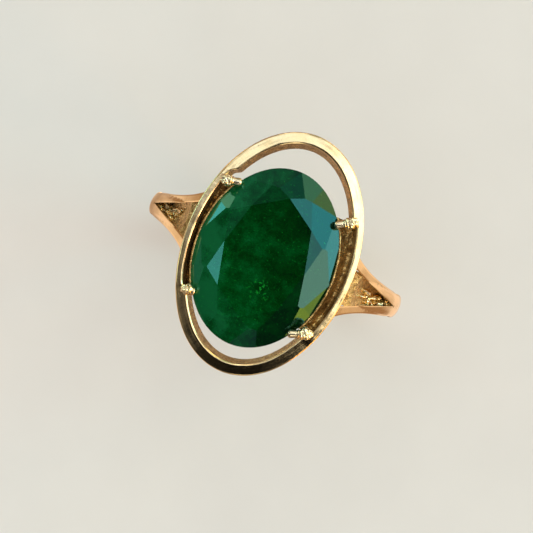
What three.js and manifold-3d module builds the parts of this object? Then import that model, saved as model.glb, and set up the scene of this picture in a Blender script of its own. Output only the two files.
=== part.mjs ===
// A cocktail ring: an oval gemstone held by four claws inside an open oval frame, carried on split
// shoulders that rise from a plain half-round shank.
//
// Millimetres. The origin is at the foot of the shank, +Z runs up through the gemstone, X runs
// across the hoop and Y runs along the finger. Front is the -Y side, right is the +X side.
import * as THREE from "three";
import { mergeVertices } from "three/addons/utils/BufferGeometryUtils.js";
import Module from "manifold-3d";

const wasm = await Module();
wasm.setup();

// Every soldered or set joint keeps this clearance, so each piece stays its own solid.
const SEAM = 0.015;
const WELD = 1e-4;

// Cutting shapes run this far past the surface they cut.
const OVERCUT = 1;

// Shank: a half-round band, bored for the finger and cut off where the shoulders split.
const FINGER_RADIUS = 8.65;
const FOOT_THICKNESS = 1.25;
const SIDE_THICKNESS = 1.5;
const SHANK_WIDTH = 1.8;
const SHANK_DOME = 0.4;
const FOOT_WEAR = 0.02;
const SHANK_TOP = 12;
const HOOP_RADIUS = FINGER_RADIUS + SIDE_THICKNESS;
const HOOP_Z = HOOP_RADIUS - FOOT_WEAR;
const FINGER_Z = FINGER_RADIUS + FOOT_THICKNESS;

// Gemstone: an oval brilliant, given by its girdle, table and depths.
const GEM_HALF_WIDTH = 5;
const GEM_HALF_LENGTH = 6.65;
const GIRDLE_Z = 23.32;
const GIRDLE_THICKNESS = 0.16;
const CROWN_HEIGHT = 1.05;
const PAVILION_DEPTH = 3.8;
const TABLE_SIDE_RATIO = 0.62;
const TABLE_END_RATIO = 0.69;
const STAR_RATIO = 0.81;
const LOWER_HALF_RATIO = 0.3;
const GEM_MAINS = 8;
const CULET_RATIO = 0.01;
const GIRDLE_TOP = GIRDLE_Z + GIRDLE_THICKNESS / 2;
const GIRDLE_BOTTOM = GIRDLE_Z - GIRDLE_THICKNESS / 2;

// The gemstone is set a little off the frame's middle, towards the front left.
const SETTING_X = -0.2;
const SETTING_Y = -0.4;

// Open oval frame: a flat-topped band, wider round its two free arches than along its sides.
const FRAME_HALF_WIDTH = 6.2;
const FRAME_HALF_LENGTH = 9.1;
const FRAME_SIDE_FACE = 0.46;
const FRAME_ARCH_FACE = 0.82;
const FRAME_SIDE_REACH = 4.8;
const FRAME_TOP = 23.7;
const FRAME_HEIGHT = 1.3;
const FRAME_DRAFT = 0.955;
const FRAME_BOTTOM = FRAME_TOP - FRAME_HEIGHT;

// Galleries: the side walls under the frame, each with a ledge that rises inside the frame, bears
// the gemstone and ends in a lip round its girdle.
const GALLERY_BOTTOM = 20.5;
const GALLERY_WALL = 0.8;
const GALLERY_TOP = FRAME_BOTTOM - SEAM;
const LEDGE_REACH = 0.38;
const LEDGE_LIP = 0.16;
const LEDGE_BOTTOM = GALLERY_TOP - 0.65;
const LEDGE_TOP = GIRDLE_BOTTOM;

// Claws: a round post by each end of a gallery, thinned to a finger that holds the girdle. Angles
// are in degrees of the girdle's oval, from its side. The tips match; the posts stand where soldered.
const TIP_ANGLE = 39.5;
const CLAWS = {
  right_back: { side: 1, end: 1, postAngle: 37.5 },
  right_front: { side: 1, end: -1, postAngle: 35 },
  left_back: { side: -1, end: 1, postAngle: 30 },
  left_front: { side: -1, end: -1, postAngle: 40 },
};
const POST_STAND_OFF = 0.55;
const POST_RADIUS = 0.36;
const POST_BOTTOM = 20.7;
const FINGER_WIRE_RADIUS = 0.26;
const CLAW_Z = 23.75;
const TIP_RADIUS = 0.28;
const NOTCH_CLEARANCE = 0.02;

// Shoulders: the arms leave the shank at the split and spread to the sides of the frame.
const SPLIT_X = 9.7;
const FLARE_START_X = HOOP_RADIUS - 0.2;
const SPLIT_BEND = { x: 7.8, y: 0.7 };
const ARM_END = { x: 5.8, innerY: 1.75, outerY: 2.5 };
const ARM_FLARE = { x: 7.4, y: 1.15 };
const BACK_END_Z = 23.2;
const BACK_BEND = { x: 9.08, z: 16.8 };
const UNDERSIDE_END_Z = 20.8;
const UNDERSIDE_BEND = { x: 7.2, z: 15.6 };
const WEB_THICKNESS = 0.55;
const WEB_TOP = 20.3;

const CURVE_STEPS = 14;
const OVAL_STEPS = 96;
const HOOP_STEPS = 96;
const WIRE_STEPS = 12;

const SIDES = { right: 1, left: -1 };
const ENDS = { back: 1, front: -1 };

const GOLD = { color: 0xd8ae5c, roughness: 0.16, metalness: 1 };
const ROUGH_GOLD = { color: 0xb98a3c, roughness: 0.45, metalness: 1 };
const EMERALD = { color: 0x0a5a36, roughness: 0.06, metalness: 0 };

// Turns a closed three.js geometry into a solid that can be joined and cut.
function solidOf(geometry) {
  const bare = geometry.clone();
  bare.deleteAttribute("normal");
  bare.deleteAttribute("uv");
  const merged = mergeVertices(bare, WELD);
  return new wasm.Manifold(
    new wasm.Mesh({
      numProp: 3,
      vertProperties: merged.attributes.position.array,
      triVerts: new Uint32Array(merged.index.array),
    }),
  );
}

function geometryOf(solid) {
  const mesh = solid.getMesh();
  const geometry = new THREE.BufferGeometry();
  geometry.setAttribute("position", new THREE.BufferAttribute(mesh.vertProperties, 3));
  geometry.setIndex(new THREE.BufferAttribute(mesh.triVerts, 1));
  const flat = geometry.toNonIndexed();
  flat.computeVertexNormals();
  return flat;
}

// An upright oval plug; the two scales draw its lower or upper end in for a tapered wall.
function ovalPlug(halfWidth, halfLength, lowZ, highZ, lowScale = 1, highScale = 1) {
  const height = highZ - lowZ;
  const geometry = new THREE.CylinderGeometry(highScale, lowScale, height, OVAL_STEPS);
  geometry.rotateX(Math.PI / 2);
  geometry.scale(halfWidth, halfLength, 1);
  geometry.translate(0, 0, lowZ + height / 2);
  return solidOf(geometry);
}

// A block given by two opposite corners.
function block(low, high) {
  const geometry = new THREE.BoxGeometry(high[0] - low[0], high[1] - low[1], high[2] - low[2]);
  geometry.translate((low[0] + high[0]) / 2, (low[1] + high[1]) / 2, (low[2] + high[2]) / 2);
  return solidOf(geometry);
}

// An outline drawn in plan, X and Y, and extruded upwards.
function planPrism(shape, lowZ, highZ) {
  const options = { depth: highZ - lowZ, bevelEnabled: false, curveSegments: CURVE_STEPS };
  const geometry = new THREE.ExtrudeGeometry(shape, options);
  geometry.translate(0, 0, lowZ);
  return solidOf(geometry);
}

// An outline drawn in elevation, X and Z, and extruded both ways along Y.
function elevationPrism(shape, halfDepth) {
  const options = { depth: 2 * halfDepth, bevelEnabled: false, curveSegments: CURVE_STEPS };
  const geometry = new THREE.ExtrudeGeometry(shape, options);
  geometry.rotateX(Math.PI / 2);
  geometry.translate(0, halfDepth, 0);
  return solidOf(geometry);
}

// The hoop's half-round section, from the axis out over the dome and back to the axis.
function shankProfile() {
  const half = SHANK_WIDTH / 2;
  const edgeRadius = HOOP_RADIUS - SHANK_DOME;
  const points = [new THREE.Vector2(0, -half)];
  for (let step = 0; step <= WIRE_STEPS; step += 1) {
    const turn = Math.PI * (step / WIRE_STEPS - 0.5);
    const radius = edgeRadius + SHANK_DOME * Math.cos(turn);
    points.push(new THREE.Vector2(radius, half * Math.sin(turn)));
  }
  points.push(new THREE.Vector2(0, half));
  return points;
}

// A shoulder's side view: its back continues the hoop's outside and its underside the bore.
function shoulderElevation(start) {
  const outerX = Math.sqrt(HOOP_RADIUS ** 2 - (start - HOOP_Z) ** 2);
  const innerX = Math.sqrt(FINGER_RADIUS ** 2 - (start - FINGER_Z) ** 2);
  const shape = new THREE.Shape();
  shape.moveTo(innerX, start);
  shape.lineTo(outerX, start);
  shape.quadraticCurveTo(BACK_BEND.x, BACK_BEND.z, ARM_END.x, BACK_END_Z);
  shape.lineTo(ARM_END.x, UNDERSIDE_END_Z);
  shape.quadraticCurveTo(UNDERSIDE_BEND.x, UNDERSIDE_BEND.z, innerX, start);
  return shape;
}

// The plan of the right back arm: its two edges sweep outwards from the split to the frame.
function armPlan() {
  const half = SHANK_WIDTH / 2;
  const beyond = HOOP_RADIUS + OVERCUT;
  const shape = new THREE.Shape();
  shape.moveTo(beyond, SEAM / 2);
  shape.lineTo(beyond, half);
  shape.lineTo(FLARE_START_X, half);
  shape.quadraticCurveTo(ARM_FLARE.x, ARM_FLARE.y, ARM_END.x, ARM_END.outerY);
  shape.lineTo(ARM_END.x, ARM_END.innerY);
  shape.quadraticCurveTo(SPLIT_BEND.x, SPLIT_BEND.y, SPLIT_X, SEAM / 2);
  return shape;
}

function armGeometry() {
  const body = elevationPrism(shoulderElevation(SHANK_TOP + SEAM), FRAME_HALF_WIDTH);
  const spread = planPrism(armPlan(), SHANK_TOP, FRAME_TOP);
  const frameSide = ovalPlug(
    FRAME_HALF_WIDTH + SEAM, FRAME_HALF_LENGTH + SEAM,
    GALLERY_BOTTOM - OVERCUT, FRAME_TOP + OVERCUT,
  );
  return geometryOf(body.intersect(spread).subtract(frameSide));
}

// The floor of the right split: a thin web that carries the bore's curve up between the arms.
function splitWeb() {
  const between = new THREE.Shape();
  between.moveTo(SPLIT_X - SEAM, 0);
  between.quadraticCurveTo(SPLIT_BEND.x, SPLIT_BEND.y - SEAM, ARM_END.x, ARM_END.innerY - SEAM);
  between.lineTo(ARM_END.x, SEAM - ARM_END.innerY);
  between.quadraticCurveTo(SPLIT_BEND.x, SEAM - SPLIT_BEND.y, SPLIT_X - SEAM, 0);
  const shoulder = elevationPrism(shoulderElevation(SHANK_TOP - SEAM), SHANK_WIDTH);
  const overWeb = shoulder.translate([WEB_THICKNESS, 0, 0]);
  return planPrism(between, SHANK_TOP - SEAM, WEB_TOP).intersect(shoulder).subtract(overWeb);
}

function shankGeometry() {
  const disc = new THREE.LatheGeometry(shankProfile(), HOOP_STEPS);
  disc.translate(0, 0, HOOP_Z);
  const bore = new THREE.CylinderGeometry(
    FINGER_RADIUS, FINGER_RADIUS, 2 * SHANK_WIDTH, HOOP_STEPS,
  );
  bore.translate(0, 0, FINGER_Z);
  const reach = HOOP_RADIUS + OVERCUT;
  const kept = block([-reach, -SHANK_WIDTH, 0], [reach, SHANK_WIDTH, SHANK_TOP]);
  const band = solidOf(disc).subtract(solidOf(bore)).intersect(kept);
  const web = splitWeb();
  return geometryOf(band.add(web).add(web.scale([-1, 1, 1])));
}

// The frame's opening, drafted so that it narrows towards its lower edge. Between the claws it is
// let out sideways, which leaves the band narrower there than round its arches.
function frameOpening(clearance) {
  const heights = [FRAME_BOTTOM - clearance, FRAME_TOP + clearance, FRAME_DRAFT];
  const arch = FRAME_ARCH_FACE + clearance;
  const side = FRAME_SIDE_FACE + clearance;
  const reach = FRAME_SIDE_REACH - clearance;
  const arches = ovalPlug(FRAME_HALF_WIDTH - arch, FRAME_HALF_LENGTH - arch, ...heights);
  const sides = ovalPlug(FRAME_HALF_WIDTH - side, FRAME_HALF_LENGTH - side, ...heights);
  const middle = block(
    [-FRAME_HALF_WIDTH, -reach, FRAME_BOTTOM - OVERCUT], [FRAME_HALF_WIDTH, reach, FRAME_TOP + OVERCUT],
  );
  return arches.add(sides.intersect(middle));
}

function frameGeometry() {
  const outside = ovalPlug(FRAME_HALF_WIDTH, FRAME_HALF_LENGTH, FRAME_BOTTOM, FRAME_TOP);
  return geometryOf(outside.subtract(frameOpening(0)));
}

// A place for a claw, by its angle round a centred girdle and a distance outwards from it.
function clawPlace({ side, end }, angle, outward, z) {
  const turn = THREE.MathUtils.degToRad(angle);
  const x = GEM_HALF_WIDTH * Math.cos(turn);
  const y = GEM_HALF_LENGTH * Math.sin(turn);
  const normal = new THREE.Vector2(x / GEM_HALF_WIDTH ** 2, y / GEM_HALF_LENGTH ** 2).normalize();
  return new THREE.Vector3(side * (x + normal.x * outward), end * (y + normal.y * outward), z);
}

function postPlace(claw, z) {
  return clawPlace(claw, claw.postAngle, POST_STAND_OFF, z);
}

// A straight length of round wire.
function rod(from, to, radius) {
  const round = new THREE.Shape();
  round.absarc(0, 0, radius, 0, 2 * Math.PI);
  const extrudePath = new THREE.LineCurve3(from, to);
  const options = { extrudePath, steps: 1, curveSegments: WIRE_STEPS / 2 };
  return solidOf(new THREE.ExtrudeGeometry(round, options));
}

function ball(centre, radius) {
  const geometry = new THREE.SphereGeometry(radius, WIRE_STEPS, WIRE_STEPS);
  geometry.translate(...centre);
  return solidOf(geometry);
}

// The room the set gemstone takes, as smooth cones about its facets.
function stoneRoom(clearance) {
  const size = [GEM_HALF_WIDTH + clearance, GEM_HALF_LENGTH + clearance];
  const culetZ = GIRDLE_BOTTOM - PAVILION_DEPTH;
  const tableRatio = (TABLE_SIDE_RATIO + TABLE_END_RATIO) / 2;
  const crownTop = GIRDLE_TOP + CROWN_HEIGHT + clearance;
  const pavilion = ovalPlug(...size, culetZ, GIRDLE_BOTTOM, CULET_RATIO);
  const girdle = ovalPlug(...size, GIRDLE_BOTTOM, GIRDLE_TOP);
  const crown = ovalPlug(...size, GIRDLE_TOP, crownTop, 1, tableRatio);
  return pavilion.add(girdle).add(crown).translate([SETTING_X, SETTING_Y, 0]);
}

// A claw's post, which stands in a groove in the end of the gallery.
function clawPost(claw, clearance) {
  const foot = postPlace(claw, POST_BOTTOM - clearance);
  return rod(foot, postPlace(claw, CLAW_Z), POST_RADIUS + clearance);
}

// The finger runs from the post's rounded head to a round tip over the girdle. The claw is filed
// back where it meets the frame and notched where it meets the gemstone.
function clawGeometry(claw) {
  const setting = new THREE.Vector3(SETTING_X, SETTING_Y, 0);
  const tip = clawPlace(claw, TIP_ANGLE, 0, CLAW_Z).add(setting);
  const head = postPlace(claw, CLAW_Z);
  const wire = clawPost(claw, 0)
    .add(ball(head, POST_RADIUS))
    .add(rod(tip, head, FINGER_WIRE_RADIUS))
    .add(ball(tip, TIP_RADIUS));
  const frameWall = ovalPlug(
    FRAME_HALF_WIDTH, FRAME_HALF_LENGTH, FRAME_BOTTOM - SEAM, FRAME_TOP + SEAM,
  ).subtract(frameOpening(SEAM));
  return geometryOf(wire.subtract(frameWall).subtract(stoneRoom(NOTCH_CLEARANCE)));
}

// A gallery: a wall flush with the frame's outside, thinned below the ledge that bears the stone.
// It runs from one claw's post to the next.
function galleryGeometry(side) {
  const claws = Object.values(CLAWS).filter((claw) => claw.side === side);
  const ends = claws.map((claw) => postPlace(claw, 0).y);
  const low = GALLERY_BOTTOM - OVERCUT;
  const high = GALLERY_TOP + OVERCUT;
  const setting = [SETTING_X, SETTING_Y, 0];
  const wall = ovalPlug(FRAME_HALF_WIDTH, FRAME_HALF_LENGTH, GALLERY_BOTTOM, GALLERY_TOP);
  const ledge = ovalPlug(
    GEM_HALF_WIDTH + LEDGE_LIP, GEM_HALF_LENGTH + LEDGE_LIP, LEDGE_BOTTOM, LEDGE_TOP,
  );
  const half = block(
    [0, Math.min(...ends), low], [FRAME_HALF_WIDTH + OVERCUT, Math.max(...ends), high],
  );
  const throat = ovalPlug(GEM_HALF_WIDTH - LEDGE_REACH, GEM_HALF_LENGTH - LEDGE_REACH, low, high);
  const hollow = ovalPlug(
    FRAME_HALF_WIDTH - GALLERY_WALL, FRAME_HALF_LENGTH - 2 * GALLERY_WALL,
    low, LEDGE_BOTTOM,
  );
  let gallery = wall
    .add(ledge.translate(setting))
    .intersect(half.scale([side, 1, 1]))
    .subtract(throat.translate(setting))
    .subtract(hollow)
    .subtract(stoneRoom(SEAM));
  for (const claw of claws) {
    gallery = gallery.subtract(clawPost(claw, SEAM));
  }
  return geometryOf(gallery);
}

// A point on the gemstone: an angle round the oval, a share of the girdle's radius, a height.
function onGem(angle, ratio, z) {
  const x = GEM_HALF_WIDTH * ratio * Math.cos(angle);
  const y = GEM_HALF_LENGTH * ratio * Math.sin(angle);
  return new THREE.Vector3(x, y, z);
}

// Grinds one flat facet through three points, keeping the side that holds the stone's middle.
function cutFacet(stone, points) {
  const plane = new THREE.Plane().setFromCoplanarPoints(...points);
  if (plane.distanceToPoint(new THREE.Vector3(0, 0, GIRDLE_Z)) < 0) {
    plane.negate();
  }
  return stone.trimByPlane(plane.normal.toArray(), -plane.constant);
}

function tableCorner(angle) {
  const ratio = TABLE_SIDE_RATIO + (TABLE_END_RATIO - TABLE_SIDE_RATIO) * Math.sin(angle) ** 2;
  return onGem(angle, ratio, GIRDLE_TOP + CROWN_HEIGHT);
}

// Crown and pavilion repeat every main facet: mains on the eighths, halves on either side.
function gemGeometry() {
  const culetZ = GIRDLE_BOTTOM - PAVILION_DEPTH;
  const culet = new THREE.Vector3(0, 0, culetZ);
  const mainStep = (2 * Math.PI) / GEM_MAINS;
  const apexReach = Math.cos(mainStep / 2);
  const crownSlope = CROWN_HEIGHT / (1 - (TABLE_SIDE_RATIO + TABLE_END_RATIO) / 2);
  const starZ = GIRDLE_TOP + crownSlope * (1 - STAR_RATIO * apexReach);
  const lowerZ = GIRDLE_BOTTOM - PAVILION_DEPTH * (1 - LOWER_HALF_RATIO * apexReach);
  let stone = ovalPlug(GEM_HALF_WIDTH, GEM_HALF_LENGTH, culetZ, GIRDLE_TOP + CROWN_HEIGHT);
  for (let main = 0; main < GEM_MAINS; main += 1) {
    const angle = main * mainStep;
    const before = angle - mainStep / 2;
    const after = angle + mainStep / 2;
    const next = angle + mainStep;
    const star = onGem(after, STAR_RATIO, starZ);
    const lower = onGem(after, LOWER_HALF_RATIO, lowerZ);
    const tangent = [before, after].map((turn) => onGem(turn, 1 / apexReach, GIRDLE_TOP));
    stone = cutFacet(stone, [tableCorner(angle), ...tangent]);
    stone = cutFacet(stone, [tableCorner(angle), tableCorner(next), star]);
    stone = cutFacet(stone, [culet, onGem(before, LOWER_HALF_RATIO, lowerZ), lower]);
    for (const end of [angle, next]) {
      stone = cutFacet(stone, [onGem(end, 1, GIRDLE_TOP), onGem(after, 1, GIRDLE_TOP), star]);
      stone = cutFacet(stone, [onGem(end, 1, GIRDLE_BOTTOM), onGem(after, 1, GIRDLE_BOTTOM), lower]);
    }
  }
  return geometryOf(stone);
}

// The arms repeat: one is drawn, at the right back, and mirrored to the other three places.
function piece(name, geometry, look, mirrorX = 1, mirrorY = 1) {
  const mesh = new THREE.Mesh(geometry, new THREE.MeshStandardMaterial(look));
  mesh.name = name;
  mesh.scale.set(mirrorX, mirrorY, 1);
  return mesh;
}

function buildRing() {
  const ring = new THREE.Group();
  ring.add(piece("shank", shankGeometry(), GOLD));
  ring.add(piece("oval_frame", frameGeometry(), GOLD));
  const gemstone = piece("gemstone", gemGeometry(), EMERALD);
  gemstone.position.set(SETTING_X, SETTING_Y, 0);
  ring.add(gemstone);
  const arm = armGeometry();
  for (const [sideName, side] of Object.entries(SIDES)) {
    ring.add(piece(`${sideName}_gallery`, galleryGeometry(side), ROUGH_GOLD));
    for (const [endName, end] of Object.entries(ENDS)) {
      ring.add(piece(`shoulder_arm_${sideName}_${endName}`, arm, GOLD, side, end));
    }
  }
  for (const [name, claw] of Object.entries(CLAWS)) {
    ring.add(piece(`claw_${name}`, clawGeometry(claw), GOLD));
  }
  return ring;
}

export default buildRing();
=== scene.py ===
import math
import random

import bmesh
import bpy
from mathutils import Matrix, Vector, noise


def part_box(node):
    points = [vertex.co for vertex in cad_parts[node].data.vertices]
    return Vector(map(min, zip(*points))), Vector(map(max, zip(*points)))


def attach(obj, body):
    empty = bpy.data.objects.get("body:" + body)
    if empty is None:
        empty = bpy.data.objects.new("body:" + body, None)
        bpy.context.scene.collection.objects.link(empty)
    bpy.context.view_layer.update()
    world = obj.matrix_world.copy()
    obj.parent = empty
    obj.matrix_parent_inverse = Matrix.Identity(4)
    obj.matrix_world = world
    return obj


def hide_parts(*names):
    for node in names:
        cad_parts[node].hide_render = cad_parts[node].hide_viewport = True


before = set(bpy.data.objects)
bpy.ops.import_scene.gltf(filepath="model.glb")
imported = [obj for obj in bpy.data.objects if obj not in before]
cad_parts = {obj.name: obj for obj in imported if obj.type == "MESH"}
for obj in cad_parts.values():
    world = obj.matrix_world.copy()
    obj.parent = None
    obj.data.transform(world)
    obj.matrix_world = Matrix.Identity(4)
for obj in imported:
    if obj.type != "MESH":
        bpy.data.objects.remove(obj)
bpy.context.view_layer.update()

# The ring is modelled here in millimetres and scaled to metres when each piece is finished.
MM = 0.001


def box_mm(node):
    low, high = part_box(node)
    return low / MM, high / MM


# --- sizes read from the frame --------------------------------------------------------------
FRAME_LOW, FRAME_HIGH = box_mm("oval_frame")
GEM_LOW, GEM_HIGH = box_mm("gemstone")
GALLERY_LOW, GALLERY_HIGH = box_mm("right_gallery")
SHANK_LOW, SHANK_HIGH = box_mm("shank")
ARM_LOW, ARM_HIGH = box_mm("shoulder_arm_right_back")
POST_LOW, POST_HIGH = box_mm("claw_right_back")

# --- sizes of the finish, in millimetres ----------------------------------------------------
# The oval frame: its band's widths, where it steps between them, and the easing of its edges.
FRAME_SIDE_FACE = 0.48
FRAME_ARCH_FACE = 0.82
FRAME_SIDE_REACH = 4.8
FRAME_STEP = 0.3
FRAME_DRAFT = 0.045
FRAME_EDGE = 0.09
FRAME_SLOPE = 0.1
CHAMFER_SIDE = 0.09
CHAMFER_ARCH = 0.08
CHAMFER_SLOPE = 0.45
FRAME_SECTIONS = 320

# The shank: an eccentric finger hole leaves the wall thinner at the foot than at the sides.
HOOP_RADIUS = SHANK_HIGH.x
SIDE_WALL = 1.5
FOOT_WALL = 1.25
FOOT_WEAR = 0.02
HOOP_Z = SHANK_LOW.z + HOOP_RADIUS - FOOT_WEAR
FINGER_RADIUS = HOOP_RADIUS - SIDE_WALL
FINGER_Z = FINGER_RADIUS + FOOT_WALL
SHANK_HALF = 0.9
SHANK_DOME = 0.4
SHANK_ROUNDING = 0.16
JUNCTION = math.radians(10.5)

# The shoulders: SPLIT_BEND and ARM_FLARE are (x, y) in plan, the other pairs (x, z) in elevation.
SPLIT_X = 9.7
SPLIT_BEND = (7.8, 0.64)
ARM_FLARE = (7.4, 1.15)
ARM_END_X = ARM_LOW.x - 0.1
ARM_INNER_Y = 1.55
ARM_OUTER_Y = 2.38
ARM_ROUNDING = 0.12
BACK_END_Z = ARM_HIGH.z
BACK_BEND = (9.08, 16.8)
ARM_OVERLAP = 0.3
UNDER_END_Z = GALLERY_LOW.z + ARM_OVERLAP
UNDER_BEND = (7.2, 15.6)
WEB_THICKNESS = 0.55
CROTCH = (SPLIT_X + 0.03, 13.25)
GROOVE_BEND = (9.3, 12.7)
GROOVE = (8.75, 13.1)
GROOVE_SHARE = 0.3
SOLDER_HEAP = 0.06
BEADS = 26
BEAD_RISE = 0.27
BEAD_HEIGHT = 0.34

# The claws: where their tips and posts stand, in degrees round the girdle from the side.
TIP_ANGLE = 39.5
POST_ANGLES = {
    "right_back": 37.5,
    "right_front": 35,
    "left_back": 30,
    "left_front": 40,
}
POST_STAND_OFF = 0.55
POST_RADIUS = 0.36
TIP_REACH = 0.28
BASE_RADIUS = 0.36
CLAW_Z = POST_HIGH.z - POST_RADIUS

GEM_HALF_WIDTH = (GEM_HIGH.x - GEM_LOW.x) / 2
GEM_HALF_LENGTH = (GEM_HIGH.y - GEM_LOW.y) / 2
SETTING = Vector(((GEM_HIGH.x + GEM_LOW.x) / 2, (GEM_HIGH.y + GEM_LOW.y) / 2, 0))
PAVILION_SLOPE = 0.84
SEAM = 0.015

# The galleries' section: the shelf below the frame, the bearing under the girdle, the side wall.
SHELF_DROP = 0.65
BEARING = 0.3
GALLERY_WALL = 0.8

SIDES = {"right": 1, "left": -1}
ENDS = {"back": 1, "front": -1}


# --- mesh helpers ----------------------------------------------------------------------------
def mesh_object(name, vertices, faces):
    mesh = bpy.data.meshes.new(name)
    mesh.from_pydata([tuple(v) for v in vertices], [], faces)
    mesh.update()
    thing = bpy.data.objects.new(name, mesh)
    bpy.context.scene.collection.objects.link(thing)
    return thing


def loft(name, sections, ring=False):
    """Joins equal closed sections into a skin; ring closes the last section on the first."""
    count = len(sections[0])
    vertices = [point for section in sections for point in section]
    faces = []
    spans = len(sections) if ring else len(sections) - 1
    for i in range(spans):
        j = (i + 1) % len(sections)
        for k in range(count):
            m = (k + 1) % count
            faces.append((i * count + k, i * count + m, j * count + m, j * count + k))
    if not ring:
        faces.append(tuple(range(count - 1, -1, -1)))
        last = (len(sections) - 1) * count
        faces.append(tuple(range(last, last + count)))
    thing = mesh_object(name, vertices, faces)
    recalculate(thing)
    return thing


def recalculate(thing):
    work = bmesh.new()
    work.from_mesh(thing.data)
    bmesh.ops.recalc_face_normals(work, faces=work.faces)
    work.to_mesh(thing.data)
    work.free()


def apply_modifiers(thing):
    graph = bpy.context.evaluated_depsgraph_get()
    mesh = bpy.data.meshes.new_from_object(thing.evaluated_get(graph))
    old = thing.data
    thing.modifiers.clear()
    thing.data = mesh
    bpy.data.meshes.remove(old)


def merged(name, things):
    """One object holding the meshes of several."""
    work = bmesh.new()
    for thing in things:
        work.from_mesh(thing.data)
        bpy.data.objects.remove(thing)
    mesh = bpy.data.meshes.new(name)
    work.to_mesh(mesh)
    work.free()
    whole = bpy.data.objects.new(name, mesh)
    bpy.context.scene.collection.objects.link(whole)
    return whole


def finish_piece(thing, material, nodes, sharp=35.0):
    """Scales a millimetre piece to metres, shades it and lets it stand for its CAD nodes."""
    thing.data.transform(Matrix.Scale(MM, 4))
    thing.data.materials.clear()
    thing.data.materials.append(material)
    for polygon in thing.data.polygons:
        polygon.use_smooth = True
    thing.data.set_sharp_from_angle(angle=math.radians(sharp))
    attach(thing, "root")
    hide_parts(*nodes)


def mirrored(thing, name, flip_x, flip_y):
    copy = thing.copy()
    copy.data = thing.data.copy()
    copy.name = name
    copy.data.name = name
    copy.data.transform(Matrix.Diagonal((flip_x, flip_y, 1, 1)))
    bpy.context.scene.collection.objects.link(copy)
    recalculate(copy)
    return copy


def quadratic(start, bend, end, t):
    """A point on a quadratic curve, in as many dimensions as its points have."""
    s = 1 - t
    return tuple(s * s * a + 2 * s * t * b + t * t * c for a, b, c in zip(start, bend, end))


def mix(a, b, t):
    return a + (b - a) * t


def smooth_step(low, high, value):
    share = min(1.0, max(0.0, (value - low) / (high - low)))
    return share * share * (3 - 2 * share)


def lumps(point, size, depth, seed):
    """Rough-cast relief: smooth random height at a place."""
    place = Vector(point) / size + Vector((seed, 2 * seed, 3 * seed))
    return depth * noise.fractal(place, 0.9, 2.1, 3)


# --- the oval frame --------------------------------------------------------------------------
# Where the inner wall's section has points, as shares of its height from the top.
WALL_PARTS = (0.03, 0.1, 0.3, 0.5, 0.7, 0.95)


def frame_width(y):
    """The band is narrow between the claws and steps out to its full width round the arches."""
    step = smooth_step(FRAME_SIDE_REACH - FRAME_STEP, FRAME_SIDE_REACH + FRAME_STEP, abs(y))
    return mix(FRAME_SIDE_FACE, FRAME_ARCH_FACE, step), step


def frame_profile(y):
    """The band's section as distances in from its outer wall and heights."""
    width, arch = frame_width(y)
    chamfer = mix(CHAMFER_SIDE, CHAMFER_ARCH, arch)
    face = width - chamfer - FRAME_EDGE
    top = FRAME_HIGH.z
    low = FRAME_LOW.z
    shoulder = top - FRAME_SLOPE * face
    profile = [(0.06, low), (0.0, low + 0.06)]
    profile += [(0.0, mix(low, shoulder, part)) for part in (0.3, 0.6, 0.85)]
    for step in range(5):
        turn = math.pi / 2 * step / 4
        out = FRAME_EDGE * (1 - math.sin(turn))
        profile.append((FRAME_EDGE - FRAME_EDGE * math.cos(turn), shoulder - out))
    for step in range(1, 11):
        across = step / 10
        profile.append((FRAME_EDGE + face * across, top - FRAME_SLOPE * face * (1 - across) ** 1.2))
    drop = CHAMFER_SLOPE * chamfer
    for step in range(1, 5):
        across = step / 4
        profile.append((width - chamfer * (1 - across), top - drop * across ** 1.3))
    return profile, width, top - drop


def frame_section(angle):
    outer = Vector((FRAME_HIGH.x * math.cos(angle), FRAME_HIGH.y * math.sin(angle)))
    inward = -Vector((math.cos(angle) / FRAME_HIGH.x, math.sin(angle) / FRAME_HIGH.y)).normalized()
    profile, width, wall_top = frame_profile(outer.y)
    draft = FRAME_DRAFT * (outer + inward * width).length
    profile += [(width + draft * part, mix(wall_top, FRAME_LOW.z, part)) for part in WALL_PARTS]
    profile.append((width + draft - 0.06, FRAME_LOW.z))
    points = []
    along = angle * (FRAME_HIGH.x + FRAME_HIGH.y) / 2
    for inset, z in profile:
        flat = outer + inward * inset
        wave = lumps((along, inset, z), 2.4, 0.008, 4.0)
        streak = lumps((along / 4, inset * 3, 0), 0.6, 0.008, 9.0)
        points.append(Vector((flat.x, flat.y, z + wave + streak)))
    return points


def build_frame(material, inside):
    sections = [frame_section(2 * math.pi * step / FRAME_SECTIONS) for step in range(FRAME_SECTIONS)]
    frame_band = loft("oval_frame_band", sections, ring=True)
    count = len(sections[0])
    first_wall_face = count - 1 - len(WALL_PARTS)
    finish_piece(frame_band, material, ["oval_frame"])
    # The inner wall's faces take the second material; for this frame it carries painted shade.
    frame_band.data.materials.append(inside)
    for index, polygon in enumerate(frame_band.data.polygons):
        if first_wall_face <= index % count < count - 2:
            polygon.material_index = 1


# --- the shank -------------------------------------------------------------------------------
def bore_reach(turn):
    """How far the bore is from the hoop's centre along a direction in the hoop's plane."""
    shift = HOOP_Z - FINGER_Z
    along = shift * math.sin(turn)
    return -along + math.sqrt(along * along - shift * shift + FINGER_RADIUS * FINGER_RADIUS)


def hoop_point(turn, radius, y):
    return Vector((radius * math.cos(turn), y, HOOP_Z + radius * math.sin(turn)))


def dome_drop(y):
    """How far the band's back falls away from its crest at a distance across the band."""
    across = min(1.0, abs(y) / SHANK_HALF)
    return SHANK_DOME * (1 - math.sqrt(1 - across * across))


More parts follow.
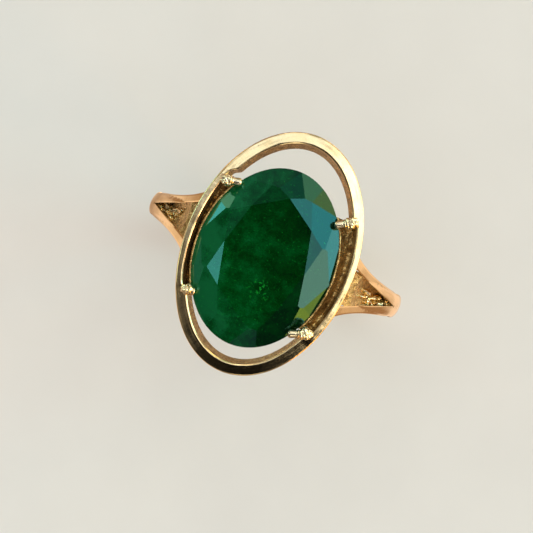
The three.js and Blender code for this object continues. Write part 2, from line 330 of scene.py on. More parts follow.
def shank_section(turn):
    inner = bore_reach(turn)
    points = []
    steps = 20
    for step in range(steps + 1):
        around = math.pi * (step / steps - 0.5)
        y = SHANK_HALF * math.sin(around)
        points.append(hoop_point(turn, HOOP_RADIUS - SHANK_DOME * (1 - math.cos(around)), y))
    wall = HOOP_RADIUS - SHANK_DOME - inner
    points += [hoop_point(turn, inner + wall * part, SHANK_HALF) for part in (0.75, 0.5, 0.3)]
    rounded = []
    for step in range(5):
        around = math.pi / 2 * step / 4
        y = SHANK_HALF - SHANK_ROUNDING * (1 - math.cos(around))
        rounded.append((inner + SHANK_ROUNDING * (1 - math.sin(around)), y))
    points += [hoop_point(turn, radius, y) for radius, y in rounded]
    points += [hoop_point(turn, inner, y) for y in (0.4, 0.0, -0.4)]
    points += [hoop_point(turn, radius, -y) for radius, y in reversed(rounded)]
    points += [hoop_point(turn, inner + wall * part, -SHANK_HALF) for part in (0.3, 0.5, 0.75)]
    return points


def build_shank(material, inside, solder):
    """The band and, in the as-cast metal, the floors of the two splits with their solder."""
    sweep = math.pi + 2 * JUNCTION
    count = 200
    sections = [shank_section(JUNCTION - sweep * step / count) for step in range(count + 1)]
    floors = [split_floor(1), split_floor(-1)]
    beads = solder_beads(1) + solder_beads(-1)
    groups = [[loft("band", sections)], floors, beads]
    kinds = []
    for kind, group in enumerate(groups):
        kinds += [kind] * sum(len(thing.data.polygons) for thing in group)
    shank = merged("shank_band", [thing for group in groups for thing in group])
    finish_piece(shank, material, ["shank"])
    shank.data.materials.append(inside)
    # The solder beads take the paler gold, which is painted light.
    shank.data.materials.append(solder)
    shank.data.polygons.foreach_set("material_index", kinds)


# --- the shoulders ---------------------------------------------------------------------------
def shoulder_back(t):
    start = (HOOP_RADIUS * math.cos(JUNCTION), HOOP_Z + HOOP_RADIUS * math.sin(JUNCTION))
    return quadratic(start, BACK_BEND, (ARM_END_X, BACK_END_Z), t)


def shoulder_underside(t):
    return quadratic(bore_edge(), UNDER_BEND, (ARM_END_X, UNDER_END_Z), t)


def plan_edge(x, start, bend, end):
    """The sideways place of a plan curve where it crosses a given x."""
    low, high = 0.0, 1.0
    for _ in range(30):
        t = (low + high) / 2
        if quadratic(start, bend, end, t)[0] > x:
            low = t
        else:
            high = t
    return quadratic(start, bend, end, low)[1]


def arm_inner_y(x):
    if x >= SPLIT_X:
        return 0.0
    return plan_edge(x, (SPLIT_X, 0.0), SPLIT_BEND, (ARM_END_X, ARM_INNER_Y))


def arm_outer_y(x):
    turn_in = HOOP_RADIUS - 0.2
    if x >= turn_in:
        return SHANK_HALF
    return plan_edge(x, (turn_in, SHANK_HALF), ARM_FLARE, (ARM_END_X, ARM_OUTER_Y))


def arm_section(t):
    """One section of the right back arm: a domed back, flat sides and an eased underside."""
    back = Vector(shoulder_back(t))
    under = Vector(shoulder_underside(t))
    inward = (under - back).normalized()
    depth = (under - back).length
    opened = min(1.0, max(0.0, (SPLIT_X - back.x) / 0.5))
    inner_round = ARM_ROUNDING * opened
    doming = 1 - 0.5 * t
    parting = smooth_step(0.0, 0.12, t)
    points = []

    def add(y_share, down):
        place = back + inward * down
        inner = parting * arm_inner_y(place.x)
        outer = mix(SHANK_HALF, arm_outer_y(place.x), parting)
        points.append(Vector((place.x, mix(inner, outer, y_share), place.y)))

    width = arm_outer_y(back.x) - arm_inner_y(back.x)
    corner = [(0.0, 1.0), (0.08, 0.6), (0.3, 0.28), (0.6, 0.08), (1.0, 0.0)]
    across = [(inner_round * run / width, inner_round * rise) for run, rise in corner]
    across += [(share, 0.0) for share in (0.25, 0.4, 0.55, 0.7, 0.8)]
    across += [(1 - ARM_ROUNDING * run / width, ARM_ROUNDING * rise) for run, rise in reversed(corner)]
    for share, drop in across:
        y = mix(arm_inner_y(back.x), arm_outer_y(back.x), share)
        add(share, drop + doming * dome_drop(y))
    for part in (0.5, 0.75, 0.9):
        add(1.0, depth * part)
    add(0.93, depth - 0.02)
    add(0.85, depth)
    add(0.15, depth)
    add(0.07, depth - 0.02)
    for part in (0.9, 0.75, 0.5):
        add(0.0, depth * part)
    return points


def build_arms(material):
    count = 90
    sections = [arm_section(step / count) for step in range(count + 1)]
    first = loft("arm", sections)
    for side, flip_x in (("right", 1), ("left", -1)):
        for end, flip_y in (("back", 1), ("front", -1)):
            arm = mirrored(first, f"arm_{side}_{end}", flip_x, flip_y)
            finish_piece(arm, material, [f"shoulder_arm_{side}_{end}"])
    bpy.data.objects.remove(first)


def floor_top(share):
    """The split's floor, from the crotch down into the groove and up the web, in elevation."""
    if share < GROOVE_SHARE:
        return quadratic(CROTCH, GROOVE_BEND, GROOVE, share / GROOVE_SHARE)
    under = shoulder_underside(mix(0.2, 0.95, (share - GROOVE_SHARE) / (1 - GROOVE_SHARE)))
    return (under[0] + WEB_THICKNESS, under[1])


def floor_outward(share):
    """The direction square to the floor, away from the finger."""
    before = Vector(floor_top(max(0.0, share - 0.02)))
    after = Vector(floor_top(min(1.0, share + 0.02)))
    return Vector((after.y - before.y, before.x - after.x)).normalized()


def bore_edge():
    inner = bore_reach(JUNCTION)
    return (inner * math.cos(JUNCTION), HOOP_Z + inner * math.sin(JUNCTION))


def split_floor(side):
    """The as-cast floor of a split, crumpled by its crotch, backed by a thin web over the bore."""
    rows = []
    count = 110
    across = 40
    for step in range(count + 1):
        share = step / count
        top = Vector(floor_top(share))
        low = Vector(shoulder_underside(mix(0.02, 0.95, share)))
        half = arm_inner_y(top.x) + 0.1
        crumple = 0.13 * smooth_step(0.0, 0.06, share) * (1 - smooth_step(0.35, 0.8, share))
        outward = floor_outward(share)
        row = []
        for k in range(across + 1):
            y = mix(-half, half, k / across)
            place = (top.x, y, top.y / 4)
            bump = lumps(place, 0.45, crumple, 7.0 + side) + lumps(place, 1.3, 0.05, 12.0 + side)
            dish = 0.3 * (abs(y) / half) ** 3 * smooth_step(0.05, 0.4, share)
            spot = top + outward * (bump + dish)
            row.append(Vector((side * spot.x, y, spot.y)))
        row.append(Vector((side * low.x, half, low.y)))
        row.append(Vector((side * low.x, -half, low.y)))
        rows.append(row)
    return loft("floor", rows)


def solder_beads(side):
    """Bright lumps of solder run into a split, thickest by its crotch and thinning up the web."""
    chance = random.Random(40 + side)
    beads = []
    for index in range(BEADS):
        share = mix(0.12, 0.8, (index / BEADS) ** 1.3)
        top = floor_top(share)
        size = mix(0.45, 1.0, smooth_step(0.1, 0.3, share))
        y = chance.uniform(-0.8, 0.45) * arm_inner_y(top[0])
        length = size * chance.uniform(0.2, 0.45)
        slant = chance.uniform(-0.3, 0.5)
        work = bmesh.new()
        bmesh.ops.create_icosphere(work, subdivisions=3, radius=1)
        for vertex in work.verts:
            swell = 1 + lumps(vertex.co, 0.9, 0.35, 30.0 + index)
            run, across, up = vertex.co * swell
            sideways = y + across * length * 0.45
            height = top[1] + size * (BEAD_RISE + up * BEAD_HEIGHT)
            spot = Vector((top[0] + run * length, sideways, height))
            spot.y += slant * run * length
            vertex.co = Vector((side * spot.x, spot.y, spot.z))
        mesh = bpy.data.meshes.new("bead")
        work.to_mesh(mesh)
        work.free()
        beads.append(bpy.data.objects.new("bead", mesh))
        recalculate(beads[-1])
    return beads


# --- the galleries ---------------------------------------------------------------------------
def oval_x(half_width, half_length, y):
    return half_width * math.sqrt(max(0.0, 1 - (y / half_length) ** 2))


def oval_edge(half_width, half_length, side, centre, y):
    """How far out, on one side, an oval's edge is at a distance along the finger."""
    return side * centre.x + oval_x(half_width, half_length, y - centre.y)


def gallery_section(side, y):
    """A gallery's section on the right side; the left one is turned over when it is built."""
    outer = oval_x(FRAME_HIGH.x, FRAME_HIGH.y, y)
    throat = oval_edge(GEM_HALF_WIDTH, GEM_HALF_LENGTH, side, SETTING, y)
    rim = oval_x(FRAME_HIGH.x - FRAME_SIDE_FACE, FRAME_HIGH.y - FRAME_SIDE_FACE, y)
    rim = max(rim * (1 - FRAME_DRAFT), throat + 0.3)
    low = GALLERY_LOW.z
    top = FRAME_LOW.z - SEAM
    lip = GALLERY_HIGH.z
    shelf = top - SHELF_DROP
    outline = [(outer, low + 0.05), (outer, mix(low, top, 0.5)), (outer, top)]
    outline += [(mix(outer, rim, part), top + 0.01) for part in (0.4, 0.75)]
    outline += [(rim + 0.03, top), (rim - 0.02, top - 0.04)]
    foot = throat + 0.2
    rising = ((0.3, 0.0), (0.65, 0.16), (0.9, 0.4))
    outline += [(mix(rim, foot, part), top + rise) for part, rise in rising]
    outline += [(throat + 0.18, lip - 0.12), (throat + 0.15, lip - 0.03)]
    outline += [(throat + 0.1, lip), (throat + 0.03, lip - 0.01)]
    outline += [(throat - BEARING, lip - 0.03 - BEARING * PAVILION_SLOPE)]
    outline += [(throat - BEARING - 0.03, lip - 0.6), (throat - 0.2, shelf)]
    skirt = max(outer - GALLERY_WALL, throat - 0.1)
    outline += [(skirt - 0.05, shelf - 0.1), (skirt, mix(low, shelf, 0.5)), (skirt + 0.05, low)]
    outline += [(outer - 0.2, low), (outer - 0.05, low)]
    return [Vector((side * x, y, z)) for x, z in outline]


def build_galleries(material, outside):
    count = 150
    for side_name, side in SIDES.items():
        start = post_place(f"{side_name}_front", 0).y
        end = post_place(f"{side_name}_back", 0).y
        sections = [gallery_section(side, mix(start, end, step / count)) for step in range(count + 1)]
        gallery = loft(f"gallery_{side_name}", sections)
        divide = gallery.modifiers.new("divide", "SUBSURF")
        divide.subdivision_type = "SIMPLE"
        divide.levels = 2
        apply_modifiers(gallery)
        roughen(gallery, side, start, end)
        finish_piece(gallery, material, [f"{side_name}_gallery"], 60.0)
        gallery.data.materials.append(outside)
        for polygon in gallery.data.polygons:
            place = polygon.center / MM
            if oval_x(FRAME_HIGH.x, FRAME_HIGH.y, place.y) - abs(place.x) < 0.06:
                polygon.material_index = 1


def roughen(gallery, side, start, end):
    """As-cast relief on the faces that no file could reach, heaped up with solder by the claws."""
    for vertex in gallery.data.vertices:
        place = vertex.co
        outer = oval_x(FRAME_HIGH.x, FRAME_HIGH.y, place.y)
        hidden = smooth_step(0.1, 0.4, outer - abs(place.x))
        hidden *= 1 - 0.75 * smooth_step(GALLERY_HIGH.z - 0.2, GALLERY_HIGH.z, place.z)
        soldered = 1 - smooth_step(0.4, 2.2, min(place.y - start, end - place.y))
        coarse = lumps((place.x, place.y / 2, place.z), 0.6, 0.09, 11.0)
        coarse += soldered * (SOLDER_HEAP + lumps(place, 0.4, 0.16, 23.0))
        vertex.co.z += hidden * (coarse + lumps(place, 0.22, 0.03, 14.0))
        vertex.co.x += hidden * lumps(place, 0.45, 0.02, 17.0 + side)


# --- the claws -------------------------------------------------------------------------------
def claw_place(name, angle, outward, z):
    """A place for a claw, by its angle round a centred girdle and a distance outwards from it."""
    side_name, end_name = name.split("_")
    turn = math.radians(angle)
    x = GEM_HALF_WIDTH * math.cos(turn)
    y = GEM_HALF_LENGTH * math.sin(turn)
    normal = Vector((x / GEM_HALF_WIDTH ** 2, y / GEM_HALF_LENGTH ** 2)).normalized()
    x = SIDES[side_name] * (x + normal.x * outward)
    y = ENDS[end_name] * (y + normal.y * outward)
    return Vector((x, y, z))


def post_place(name, z, outward=POST_STAND_OFF):
    return claw_place(name, POST_ANGLES[name], outward, z)


def turned_rod(name, start, end, profile, sides=28):
    """A turned form along a line: profile lists (distance along, radius)."""
    axis = (end - start).normalized()
    across = axis.orthogonal().normalized()
    other = axis.cross(across)
    sections = []
    for along, radius in profile:
        centre = start + axis * along
        ring = []
        for side in range(sides):
            turn = 2 * math.pi * side / sides
            ring.append(centre + (across * math.cos(turn) + other * math.sin(turn)) * radius)
        sections.append(ring)
    return loft(name, sections)


def domed(length, radius, start_dome, end_dome, steps=8):
    """A profile of even radius with rounded ends."""
    profile = []
    if start_dome:
        for step in range(1, steps):
            turn = math.pi / 2 * step / steps
            profile.append((radius * (1 - math.cos(turn)), radius * math.sin(turn)))
    profile.append((radius if start_dome else 0.0, radius))
    profile.append((length - radius if end_dome else length, radius))
    if end_dome:
        for step in range(steps - 1, 0, -1):
            turn = math.pi / 2 * step / steps
            profile.append((length - radius * (1 - math.cos(turn)), radius * math.sin(turn)))
    return profile


# A claw's finger from its tip to its root: shares of its length and radii. The shaft ends in a
# collar, then a larger collar, then the thick root.
FINGER = [
    (0.015, 0.11), (0.045, 0.21), (0.09, 0.27), (0.16, 0.3), (0.28, 0.295), (0.42, 0.285),
    (0.5, 0.27), (0.53, 0.33), (0.57, 0.34), (0.61, 0.29), (0.64, 0.37), (0.69, 0.42),
    (0.74, 0.37), (0.85, 0.4), (1.0, 0.4),
]


# Height above CLAW_Z and distance beyond the post's axis: where a finger's root lies, and the
# two ends of the base under it.
ROOT_PLACE = (0.03, 0.22)
BASE_LOW = (-0.5, 0.2)
BASE_HIGH = (0.3, 0.3)
CLAW_VOXEL = 0.022


def beside_post(name, place):
    rise, out = place
    return post_place(name, CLAW_Z + rise, POST_STAND_OFF + out)


def build_claw(name, material):
    foot = post_place(name, POST_LOW.z)
    head = post_place(name, POST_HIGH.z)
    post = turned_rod("post", foot, head, domed((head - foot).length, POST_RADIUS, False, True))
    tip = claw_place(name, TIP_ANGLE, 0, CLAW_Z) + SETTING
    root = beside_post(name, ROOT_PLACE)
    tip += (tip - root).normalized() * TIP_REACH
    length = (root - tip).length
    finger = turned_rod("finger", tip, root, [(share * length, radius) for share, radius in FINGER])
    low = beside_post(name, BASE_LOW)
    high = beside_post(name, BASE_HIGH)
    base = turned_rod("base", low, high, domed((high - low).length, BASE_RADIUS, True, True))
    claw = merged(f"claw_wire_{name}", [post, finger, base])
    remesh = claw.modifiers.new("remesh", "REMESH")
    remesh.mode = "VOXEL"
    remesh.voxel_size = CLAW_VOXEL
    soften = claw.modifiers.new("soften", "SMOOTH")
    soften.factor = 0.5
    soften.iterations = 4
    apply_modifiers(claw)
    hammer(claw, tip, root)
    finish_piece(claw, material, [f"claw_{name}"], 80.0)


def hammer(claw, tip, root):
    """The uneven surface that soldering leaves round a claw's root."""
    along = root - tip
    normals = [vertex.normal.copy() for vertex in claw.data.vertices]
    for vertex, normal in zip(claw.data.vertices, normals):
        near_root = smooth_step(0.5, 0.8, (vertex.co - tip).dot(along) / along.length_squared)
        vertex.co += normal * near_root * lumps(vertex.co, 0.32, 0.1, 21.0)


def build_claws(material):
    for name in POST_ANGLES:
        build_claw(name, material)


# --- materials -------------------------------------------------------------------------------
YELLOW_GOLD = ((0.88, 0.64, 0.32), (0.94, 0.73, 0.41))
# A paler copy of the yellow gold for the claws and solder beads: painted light for the brightness they
# catch.
PALE_GOLD_PAINTED_LIGHT = ((0.95, 0.76, 0.46), (0.98, 0.85, 0.59))
# The emerald's sheen; how its body's green gains along each axis, per millimetre, and with each part
# of a facet's normal, which is painted light by how each facet is tilted; and where its brightest
# inclusions gather.
GLINT_TINT = (0.25, 0.92, 1.0, 1.0)
PALER_TOWARDS = (-0.016, -0.02, 0.0)
PAINTED_FACET_LIGHT = (-0.36, 0.09, 0.0)
FLECK_CENTRE = (0.35, -2.65, 0.0)
FLECK_COLOUR = (0.01, 0.3, 0.03, 1.0)
CLOUDED_SHARE = 0.78
EMERALD_IOR = 1.58


class Nodes:
    """A short way to add and link shader nodes."""

    def __init__(self, tree):
        self.tree = tree
        tree.nodes.clear()

    def add(self, kind, **settings):
        node = self.tree.nodes.new(kind)
        for key, value in settings.items():
            if key in node.inputs:
                self.feed(node.inputs[key], value)
            else:
                setattr(node, key, value)
        return node

    def feed(self, socket, value):
        if isinstance(value, bpy.types.NodeSocket):
            self.tree.links.new(value, socket)
        else:
            socket.default_value = value

    def put(self, node, **inputs):
        for key, value in inputs.items():
            self.feed(node.inputs[key.replace("_", " ")], value)
        return node

    def math(self, operation, first, second):
        node = self.tree.nodes.new("ShaderNodeMath")
        node.operation = operation
        self.feed(node.inputs[0], first)
        self.feed(node.inputs[1], second)
        return node.outputs[0]

    def ramp(self, value, stops):
        node = self.tree.nodes.new("ShaderNodeValToRGB")
        self.feed(node.inputs[0], value)
        elements = node.color_ramp.elements
        while len(elements) < len(stops):
            elements.new(0.5)
        for element, (place, colour) in zip(elements, stops):
            element.position = place
            element.color = (*colour, 1)
        return node.outputs[0]


def grey(level):
    return (level, level, level)


def new_material(name):
    material = bpy.data.materials.new(name)
    material.use_nodes = True
    return material, Nodes(material.node_tree)


def millimetre_space(nodes, stretch=(1, 1, 1)):
    place = nodes.add("ShaderNodeTexCoord")
    scale = tuple(s / MM for s in stretch)
    return nodes.put(nodes.add("ShaderNodeMapping"), Vector=place.outputs["Object"],
                     Scale=scale).outputs[0]


def weighted(nodes, vector, weights):
    """The sum of a vector's parts, each times its weight."""
    product = nodes.add("ShaderNodeVectorMath", operation="DOT_PRODUCT")
    nodes.feed(product.inputs[0], vector)
    nodes.feed(product.inputs[1], weights)
    return product.outputs["Value"]


def blended(nodes, blend, share, first, second):
    mixed = nodes.add("ShaderNodeMix", data_type="RGBA", blend_type=blend)
    nodes.feed(mixed.inputs["Factor"], share)
    nodes.feed(mixed.inputs[6], first)
    nodes.feed(mixed.inputs[7], second)
    return mixed.outputs[2]


def surface(nodes, shader):
    out = nodes.add("ShaderNodeOutputMaterial")
    nodes.feed(out.inputs["Surface"], shader.outputs[0])


def polished_gold(name, smoothest, roughest, colours):
    """Gold with a hand polish: faint ripples, hairline scratches and a few pits."""
    material, nodes = new_material(name)
    place = millimetre_space(nodes)
    ripple = nodes.add("ShaderNodeTexNoise", Vector=place, Scale=0.9, Detail=3.0)
    hair = nodes.add("ShaderNodeTexNoise", Vector=millimetre_space(nodes, (1.0, 7.0, 3.0)),
                     Scale=4.0, Detail=6.0, Roughness=0.7)
    pits = nodes.add("ShaderNodeTexVoronoi", Vector=place, Scale=2.2)
    pit_depth = nodes.ramp(pits.outputs["Distance"], [(0.03, grey(0.0)), (0.09, grey(1.0))])
    height = nodes.math("MULTIPLY", hair.outputs["Fac"], 0.1)
    height = nodes.math("ADD", height, nodes.math("MULTIPLY", ripple.outputs["Fac"], 1.1))
    height = nodes.math("ADD", height, nodes.math("MULTIPLY", pit_depth, 0.25))
    bump = nodes.put(nodes.add("ShaderNodeBump"), Height=height, Strength=0.45, Distance=0.03 * MM)
    roughness = nodes.ramp(hair.outputs["Fac"], [(0.3, grey(smoothest)), (0.75, grey(roughest))])
    colour = nodes.ramp(ripple.outputs["Fac"], [(0.3, colours[0]), (0.7, colours[1])])
    gold = nodes.add("ShaderNodeBsdfPrincipled")
    nodes.put(gold, Base_Color=colour, Metallic=1.0, Roughness=roughness, Normal=bump.outputs[0])
    surface(nodes, gold)
    return material


def cast_gold(name, painted_shade_factor):
    """As-cast gold: the same metal with its coarse skin, darkened in the hollows and by a share, the
    share being painted shade for surfaces that lie in shadow.
    """
    material, nodes = new_material(name)
    place = millimetre_space(nodes)
    grain = nodes.add("ShaderNodeTexNoise", Vector=place, Scale=3.0, Detail=5.0, Roughness=0.65)
    bump = nodes.put(nodes.add("ShaderNodeBump"), Height=grain.outputs["Fac"], Strength=0.7,
                     Distance=0.09 * MM)
    # Both colours are scaled by the factor: below 1 it is painted shade.
    hollow = tuple(painted_shade_factor * level for level in (0.3, 0.17, 0.05))
    raised = tuple(painted_shade_factor * level for level in (0.86, 0.6, 0.25))
    colour = nodes.ramp(grain.outputs["Fac"], [(0.36, hollow), (0.6, raised)])
    roughness = nodes.ramp(grain.outputs["Fac"], [(0.3, grey(0.42)), (0.7, grey(0.16))])
    gold = nodes.add("ShaderNodeBsdfPrincipled")
    nodes.put(gold, Base_Color=colour, Metallic=0.82, Roughness=roughness, Normal=bump.outputs[0])
    surface(nodes, gold)
    return material


def emerald_body(nodes, place):
    """The clouded green: paler to the front left, and paler under the facets that face left, which is
    painted light by facet tilt.
    """
    cloud = nodes.add("ShaderNodeTexNoise", Vector=place, Scale=0.45, Detail=7.0, Roughness=0.7)
    facing = nodes.add("ShaderNodeNewGeometry").outputs["True Normal"]
    depth = nodes.math("ADD", cloud.outputs["Fac"], weighted(nodes, place, PALER_TOWARDS))
    # Facets facing left are made paler: painted light by facet tilt.
    depth = nodes.math("ADD", depth, weighted(nodes, facing, PAINTED_FACET_LIGHT))
    return nodes.ramp(depth, [(0.32, (0.0, 0.012, 0.0005)), (0.47, (0.0, 0.028, 0.0015)),
                              (0.6, (0.0, 0.06, 0.008)), (0.76, (0.004, 0.11, 0.03))])


def emerald_flecks(nodes, place):
    """The share of bright inclusions: a gathering of grains, and fine dust everywhere."""
    centre = nodes.add("ShaderNodeVectorMath", operation="DISTANCE")
    nodes.feed(centre.inputs[0], millimetre_space(nodes, (1, 1, 0)))
    nodes.feed(centre.inputs[1], FLECK_CENTRE)
    away = nodes.math("DIVIDE", centre.outputs["Value"], 3.0)
    near = nodes.ramp(away, [(0.06, grey(1.0)), (0.36, grey(0.0))])
    fleck = nodes.add("ShaderNodeTexNoise", Vector=place, Scale=4.0, Detail=3.0, Roughness=0.7)
    grains = nodes.ramp(fleck.outputs["Fac"], [(0.55, grey(0.0)), (0.64, grey(1.0))])
    dust = nodes.add("ShaderNodeTexNoise", Vector=place, Scale=6.5, Detail=2.0)
    specks = nodes.ramp(dust.outputs["Fac"], [(0.63, grey(0.0)), (0.74, grey(0.3))])
    return nodes.math("MAXIMUM", nodes.math("MULTIPLY", near, grains), specks)


def emerald():
    """Deep green, heavily included stone: part clear and refracting, part clouded."""
    material, nodes = new_material("emerald")
    place = millimetre_space(nodes)
    body = emerald_body(nodes, place)
    colour = blended(nodes, "MIX", emerald_flecks(nodes, place), body, FLECK_COLOUR)
    clear = nodes.add("ShaderNodeBsdfPrincipled")
    nodes.put(clear, Base_Color=(0.0, 0.14, 0.02, 1.0), Roughness=0.02, IOR=EMERALD_IOR)
    nodes.put(clear, Transmission_Weight=1.0, Specular_Tint=GLINT_TINT)
    clouded = nodes.add("ShaderNodeBsdfPrincipled")
    nodes.put(clouded, Base_Color=colour, Roughness=0.03, IOR=EMERALD_IOR, Specular_Tint=GLINT_TINT)
    blend = nodes.add("ShaderNodeMixShader")
    nodes.feed(blend.inputs[0], CLOUDED_SHARE)
    nodes.feed(blend.inputs[1], clear.outputs[0])
    nodes.feed(blend.inputs[2], clouded.outputs[0])
    surface(nodes, blend)
    return material


# The floor's colours as the gold mirrors them, from its dimmest to its brightest.
WARM_BOUNCE = [(0.35, (0.34, 0.18, 0.09)), (0.65, (0.97, 0.74, 0.6))]
# How fast the bounce gains towards the back right and front left, and loses towards the other
# two corners, per square millimetre.
CORNER_GAIN = 0.0018


def floor_material():
    """Pale paper to the camera; what reflects in the gold is its warmer bounce."""
    material, nodes = new_material("pale_floor")
    place = millimetre_space(nodes)
    grain = nodes.add("ShaderNodeTexNoise", Vector=place, Scale=0.15, Detail=4.0)
    colour = nodes.ramp(grain.outputs["Fac"], [(0.3, (0.68, 0.67, 0.655)), (0.7, (0.7, 0.69, 0.675))])
    broad = nodes.add("ShaderNodeTexNoise", Vector=place, Scale=0.11, Detail=2.0)
    across = nodes.add("ShaderNodeSeparateXYZ", Vector=place)
    corner = nodes.math("MULTIPLY", across.outputs["X"], across.outputs["Y"])
    warmth = nodes.math("ADD", broad.outputs["Fac"], nodes.math("MULTIPLY", corner, CORNER_GAIN))
    mirrored_in_gold = nodes.add("ShaderNodeLightPath").outputs["Is Glossy Ray"]
    seen = blended(nodes, "MIX", mirrored_in_gold, colour, nodes.ramp(warmth, WARM_BOUNCE))
    paper = nodes.add("ShaderNodeBsdfPrincipled")
    nodes.put(paper, Base_Color=seen, Roughness=0.8)
    surface(nodes, paper)
    return material


# --- the studio ------------------------------------------------------------------------------
VIEW_ROLL = math.radians(23.4)
VIEW_DISTANCE = 250.0
VIEW_SPAN = 38.2
SENSOR = 36.0
FLOOR_RADIUS = 1500
FRAME_MIDDLE_Z = FRAME_HIGH.z - 1.0
IMAGE_RIGHT = Vector((math.cos(VIEW_ROLL), math.sin(VIEW_ROLL), 0))
IMAGE_UP = Vector((-math.sin(VIEW_ROLL), math.cos(VIEW_ROLL), 0))
VIEW_OFFSET = (-0.25, -0.9)
VIEW_LEAN = math.radians(1.8)


def add_camera():
    """Looks down on the head from a little to the right, turned so that the oval leans."""
    target = IMAGE_RIGHT * VIEW_OFFSET[0] + IMAGE_UP * VIEW_OFFSET[1]
    target.z = FRAME_MIDDLE_Z
    backwards = (IMAGE_RIGHT * math.tan(VIEW_LEAN) + Vector((0, 0, 1))).normalized()
    right = (IMAGE_RIGHT - backwards * IMAGE_RIGHT.dot(backwards)).normalized()
    up = backwards.cross(right)
    spot = (target + backwards * VIEW_DISTANCE) * MM
    data = bpy.data.cameras.new("camera")
    data.sensor_width = SENSOR
    data.lens = SENSOR * VIEW_DISTANCE / VIEW_SPAN
    data.clip_start = 0.005
    camera = bpy.data.objects.new("camera", data)
    bpy.context.scene.collection.objects.link(camera)
    turn = Matrix((right, up, backwards)).transposed().to_4x4()
    camera.matrix_world = Matrix.Translation(spot) @ turn
    bpy.context.scene.camera = camera


def add_floor():
    work = bmesh.new()
    bmesh.ops.create_circle(work, cap_ends=True, segments=96, radius=FLOOR_RADIUS * MM)
    mesh = bpy.data.meshes.new("floor")
    work.to_mesh(mesh)
    work.free()
    floor = bpy.data.objects.new("floor", mesh)
    bpy.context.scene.collection.objects.link(floor)
    mesh.materials.append(floor_material())


def studio_direction(around, from_top):
    """A direction given by its angle round the picture, from its right, and from straight up."""
    around = math.radians(around)
    from_top = math.radians(from_top)
    level = IMAGE_RIGHT * math.cos(around) + IMAGE_UP * math.sin(around)
    return level * math.sin(from_top) + Vector((0, 0, math.cos(from_top)))


# Soft boxes and black flags, seen only by reflections. Each has its angle round the picture, its
# angle from straight up, the radius of its even part, the radius where it has faded out and its
# colour; a flag has a share of the light that it lets through.
SOFT_BOXES = [
    (355, 17, 11, 17, (1.9, 1.84, 1.66)),
    (60, 15, 9, 14, (0.5, 0.55, 0.62)),
    (110, 14, 8, 13, (0.4, 0.5, 0.62)),
    (142, 14, 4, 8, (0.6, 0.68, 0.8)),
    (35, 30, 4, 8, (1.8, 2.6, 2.5)),
    (12, 54, 9, 14, (1.5, 3.2, 3.2)),
    (353, 77, 13, 18, (3.2, 4.5, 4.2)),
    (336, 56, 7, 11, (6.0, 3.8, 2.6)),
    (309, 75, 7, 11, (8.0, 3.6, 0.2)),
    (326, 76, 6, 10, (6.0, 3.0, 0.2)),
    (26, 69, 6, 10, (3.6, 2.0, 0.5)),
    (53, 63, 6, 10, (2.4, 2.2, 1.0)),
    (69, 54, 7, 11, (0.0, 0.35, 0.15)),
    (171, 31, 3, 6, (2.4, 3.2, 3.0)),
    (149, 80, 7, 11, (2.2, 4.8, 4.4)),
    (131, 76, 5, 9, (3.0, 2.4, 1.3)),
    (270, 44, 6, 11, (2.0, 1.9, 1.6)),
    (92, 42, 6, 11, (2.8, 2.7, 2.4)),
]
FLAGS = [
    (250, 16, 10, 17, 0.03),
    (283, 14, 7, 12, 0.05),
    (174, 15, 6, 10, 0.25),
    (180, 1.8, 3, 6, 0.1),
    (87, 29, 6, 10, 0.3),
    (145, 31, 6, 10, 0.6),
    (212, 30, 8, 13, 0.3),
    (276, 29, 8, 13, 0.15),
    (321, 29, 5, 9, 0.2),
    (122, 58, 8, 13, 0.8),
    (157, 60, 8, 13, 0.3),
    (220, 64, 30, 38, 0.2),
    (290, 60, 14, 20, 0.18),
]
GLOSSY_AMBIENT = (0.4, 0.38, 0.34, 1)
DIFFUSE_LIGHT = (0.8, 0.8, 0.8, 1)
BACKDROP = (0.785, 0.79, 0.705, 1)


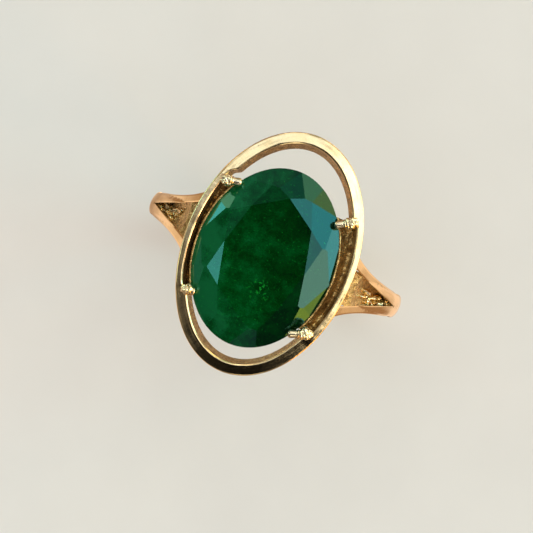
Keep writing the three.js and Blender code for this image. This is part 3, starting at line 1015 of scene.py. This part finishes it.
def patch(nodes, direction, around, from_top, inner, outer):
    """How far a direction lies inside a round, soft-edged patch of the sky, from 0 to 1."""
    glow = nodes.add("ShaderNodeMapRange", interpolation_type="SMOOTHSTEP")
    nodes.feed(glow.inputs["Value"], weighted(nodes, direction, studio_direction(around, from_top)))
    nodes.feed(glow.inputs["From Min"], math.cos(math.radians(outer)))
    nodes.feed(glow.inputs["From Max"], math.cos(math.radians(inner)))
    return glow.outputs[0]


def add_world():
    """Even pale light for the floor, a plain backdrop, and soft boxes for what reflects."""
    world = bpy.data.worlds.new("studio")
    bpy.context.scene.world = world
    world.use_nodes = True
    nodes = Nodes(world.node_tree)
    direction = nodes.add("ShaderNodeTexCoord").outputs["Generated"]
    total = GLOSSY_AMBIENT
    for around, from_top, inner, outer, colour in SOFT_BOXES:
        share = patch(nodes, direction, around, from_top, inner, outer)
        total = blended(nodes, "ADD", share, total, (*colour, 1))
    for around, from_top, inner, outer, let_through in FLAGS:
        share = patch(nodes, direction, around, from_top, inner, outer)
        total = blended(nodes, "MULTIPLY", share, total, (*grey(let_through), 1))
    path = nodes.add("ShaderNodeLightPath")
    shader = nodes.add("ShaderNodeBackground")
    nodes.feed(shader.inputs["Color"], total)
    for ray, colour in (("Is Diffuse Ray", DIFFUSE_LIGHT), ("Is Camera Ray", BACKDROP)):
        plain = nodes.add("ShaderNodeBackground")
        nodes.feed(plain.inputs["Color"], colour)
        choice = nodes.add("ShaderNodeMixShader")
        nodes.feed(choice.inputs[0], path.outputs[ray])
        nodes.feed(choice.inputs[1], shader.outputs[0])
        nodes.feed(choice.inputs[2], plain.outputs[0])
        shader = choice
    out = nodes.add("ShaderNodeOutputWorld")
    nodes.feed(out.inputs["Surface"], shader.outputs[0])
    bpy.context.scene.view_settings.view_transform = "Standard"


# --- assembly --------------------------------------------------------------------------------
def dress_gemstone(material):
    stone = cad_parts["gemstone"]
    stone.data.materials.clear()
    stone.data.materials.append(material)


gold = polished_gold("polished_gold", 0.06, 0.18, YELLOW_GOLD)
# The claws and solder take a paler copy of the gold: painted light.
claw_gold = polished_gold("claw_gold", 0.14, 0.28, PALE_GOLD_PAINTED_LIGHT)
rough_gold = cast_gold("cast_gold", 1.0)
# The frame's inner wall takes the cast gold at half its colour: painted shade for a wall deep in
# shadow.
build_frame(gold, cast_gold("wall_gold_painted_shade", 0.5))
build_shank(gold, rough_gold, claw_gold)
build_arms(gold)
build_galleries(rough_gold, gold)
build_claws(claw_gold)
dress_gemstone(emerald())
add_floor()
add_world()
add_camera()
